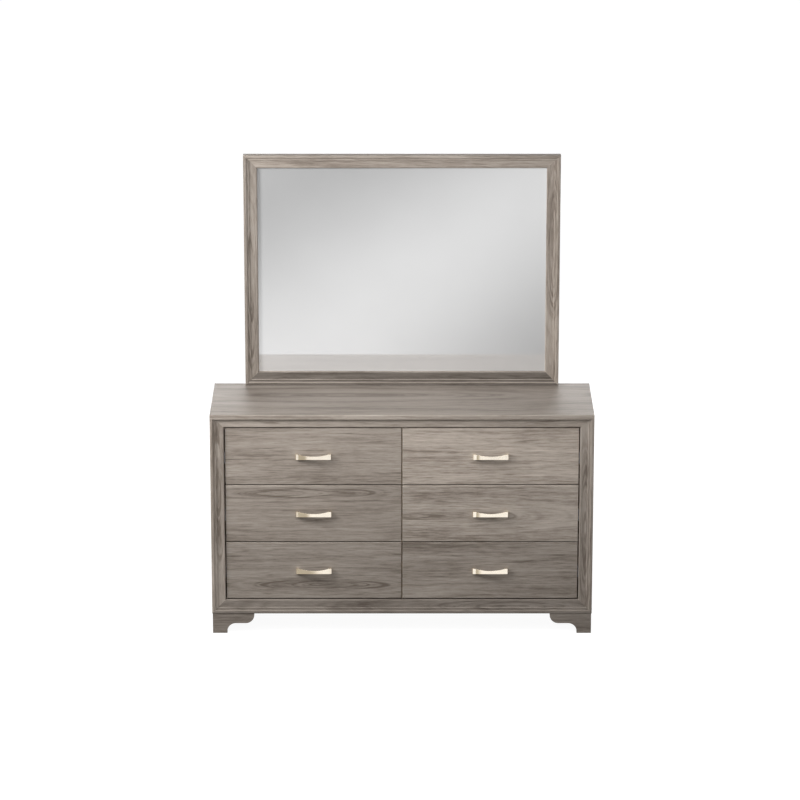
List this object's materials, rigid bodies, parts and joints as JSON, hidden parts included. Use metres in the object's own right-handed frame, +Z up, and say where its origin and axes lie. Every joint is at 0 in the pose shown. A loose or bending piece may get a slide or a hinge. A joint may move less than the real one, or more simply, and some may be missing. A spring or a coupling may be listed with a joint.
{
  "type": "dresser with mirror",
  "caption": "Grey-brown dresser with drawers in two columns on bracket feet, bow pulls and a framed landscape mirror standing on its top.",
  "frame": {"origin": "on the floor, under the middle of the object's box", "axes": "+Z up, +Y from the drawers towards the back, +X to the right seen from the front"},
  "size_m": [1.5, 0.478, 1.84],
  "materials": {
    "wood_finish": "grey-brown oak grain, satin",
    "drawer_wood": "light birch, satin",
    "backing_board": "brown hardboard, matt",
    "pull_metal": "satin champagne",
    "slide_steel": "zinc plated",
    "mirror_silver": "polished"
  },
  "bodies": {
    "carcass": {"top_panel": "wood_finish", "left_side_panel": "wood_finish", "right_side_panel": "wood_finish", "bottom_panel": "drawer_wood", "centre_partition": "drawer_wood", "back_panel": "backing_board", "rear_rails": "drawer_wood", "face_frame_top_rail": "wood_finish", "face_frame_bottom_rail": "wood_finish", "face_frame_left_stile": "wood_finish", "face_frame_right_stile": "wood_finish", "front_left_foot": "wood_finish", "front_right_foot": "wood_finish", "rear_left_foot": "wood_finish", "rear_right_foot": "wood_finish", "slide_cabinet_members": "slide_steel", "slide_cleats": "drawer_wood", "mirror_frame_top_rail": "wood_finish", "mirror_frame_bottom_rail": "wood_finish", "mirror_frame_left_stile": "wood_finish", "mirror_frame_right_stile": "wood_finish", "mirror_glass": "mirror_silver", "mirror_backboard": "backing_board", "mirror_supports": "drawer_wood"},
    "drawer_lower_left": {"drawer_lower_left_front": "wood_finish", "drawer_lower_left_box": "drawer_wood", "drawer_lower_left_bottom": "drawer_wood", "drawer_lower_left_pull": "pull_metal", "drawer_lower_left_slide_inners": "slide_steel"},
    "drawer_lower_left_slides": {"drawer_lower_left_slide_middles": "slide_steel"},
    "drawer_lower_right": {"drawer_lower_right_front": "wood_finish", "drawer_lower_right_box": "drawer_wood", "drawer_lower_right_bottom": "drawer_wood", "drawer_lower_right_pull": "pull_metal", "drawer_lower_right_slide_inners": "slide_steel"},
    "drawer_lower_right_slides": {"drawer_lower_right_slide_middles": "slide_steel"},
    "drawer_middle_left": {"drawer_middle_left_front": "wood_finish", "drawer_middle_left_box": "drawer_wood", "drawer_middle_left_bottom": "drawer_wood", "drawer_middle_left_pull": "pull_metal", "drawer_middle_left_slide_inners": "slide_steel"},
    "drawer_middle_left_slides": {"drawer_middle_left_slide_middles": "slide_steel"},
    "drawer_middle_right": {"drawer_middle_right_front": "wood_finish", "drawer_middle_right_box": "drawer_wood", "drawer_middle_right_bottom": "drawer_wood", "drawer_middle_right_pull": "pull_metal", "drawer_middle_right_slide_inners": "slide_steel"},
    "drawer_middle_right_slides": {"drawer_middle_right_slide_middles": "slide_steel"},
    "drawer_upper_left": {"drawer_upper_left_front": "wood_finish", "drawer_upper_left_box": "drawer_wood", "drawer_upper_left_bottom": "drawer_wood", "drawer_upper_left_pull": "pull_metal", "drawer_upper_left_slide_inners": "slide_steel"},
    "drawer_upper_left_slides": {"drawer_upper_left_slide_middles": "slide_steel"},
    "drawer_upper_right": {"drawer_upper_right_front": "wood_finish", "drawer_upper_right_box": "drawer_wood", "drawer_upper_right_bottom": "drawer_wood", "drawer_upper_right_pull": "pull_metal", "drawer_upper_right_slide_inners": "slide_steel"},
    "drawer_upper_right_slides": {"drawer_upper_right_slide_middles": "slide_steel"}
  },
  "joints": [
    {"name": "drawer_lower_left_pull_out", "type": "slide", "parent": "carcass", "child": "drawer_lower_left", "axis": [0, -1, 0], "range_m": [0, 0.35]},
    {"name": "drawer_lower_left_slide_travel", "type": "slide", "parent": "carcass", "child": "drawer_lower_left_slides", "axis": [0, -1, 0], "range_m": [0, 0.175]},
    {"name": "drawer_lower_right_pull_out", "type": "slide", "parent": "carcass", "child": "drawer_lower_right", "axis": [0, -1, 0], "range_m": [0, 0.35]},
    {"name": "drawer_lower_right_slide_travel", "type": "slide", "parent": "carcass", "child": "drawer_lower_right_slides", "axis": [0, -1, 0], "range_m": [0, 0.175]},
    {"name": "drawer_middle_left_pull_out", "type": "slide", "parent": "carcass", "child": "drawer_middle_left", "axis": [0, -1, 0], "range_m": [0, 0.35]},
    {"name": "drawer_middle_left_slide_travel", "type": "slide", "parent": "carcass", "child": "drawer_middle_left_slides", "axis": [0, -1, 0], "range_m": [0, 0.175]},
    {"name": "drawer_middle_right_pull_out", "type": "slide", "parent": "carcass", "child": "drawer_middle_right", "axis": [0, -1, 0], "range_m": [0, 0.35]},
    {"name": "drawer_middle_right_slide_travel", "type": "slide", "parent": "carcass", "child": "drawer_middle_right_slides", "axis": [0, -1, 0], "range_m": [0, 0.175]},
    {"name": "drawer_upper_left_pull_out", "type": "slide", "parent": "carcass", "child": "drawer_upper_left", "axis": [0, -1, 0], "range_m": [0, 0.35]},
    {"name": "drawer_upper_left_slide_travel", "type": "slide", "parent": "carcass", "child": "drawer_upper_left_slides", "axis": [0, -1, 0], "range_m": [0, 0.175]},
    {"name": "drawer_upper_right_pull_out", "type": "slide", "parent": "carcass", "child": "drawer_upper_right", "axis": [0, -1, 0], "range_m": [0, 0.35]},
    {"name": "drawer_upper_right_slide_travel", "type": "slide", "parent": "carcass", "child": "drawer_upper_right_slides", "axis": [0, -1, 0], "range_m": [0, 0.175]}
  ],
  "couplings": [
    {"joint": "drawer_lower_left_slide_travel", "follows": "drawer_lower_left_pull_out", "ratio": 0.5},
    {"joint": "drawer_lower_right_slide_travel", "follows": "drawer_lower_right_pull_out", "ratio": 0.5},
    {"joint": "drawer_middle_left_slide_travel", "follows": "drawer_middle_left_pull_out", "ratio": 0.5},
    {"joint": "drawer_middle_right_slide_travel", "follows": "drawer_middle_right_pull_out", "ratio": 0.5},
    {"joint": "drawer_upper_left_slide_travel", "follows": "drawer_upper_left_pull_out", "ratio": 0.5},
    {"joint": "drawer_upper_right_slide_travel", "follows": "drawer_upper_right_pull_out", "ratio": 0.5}
  ]
}
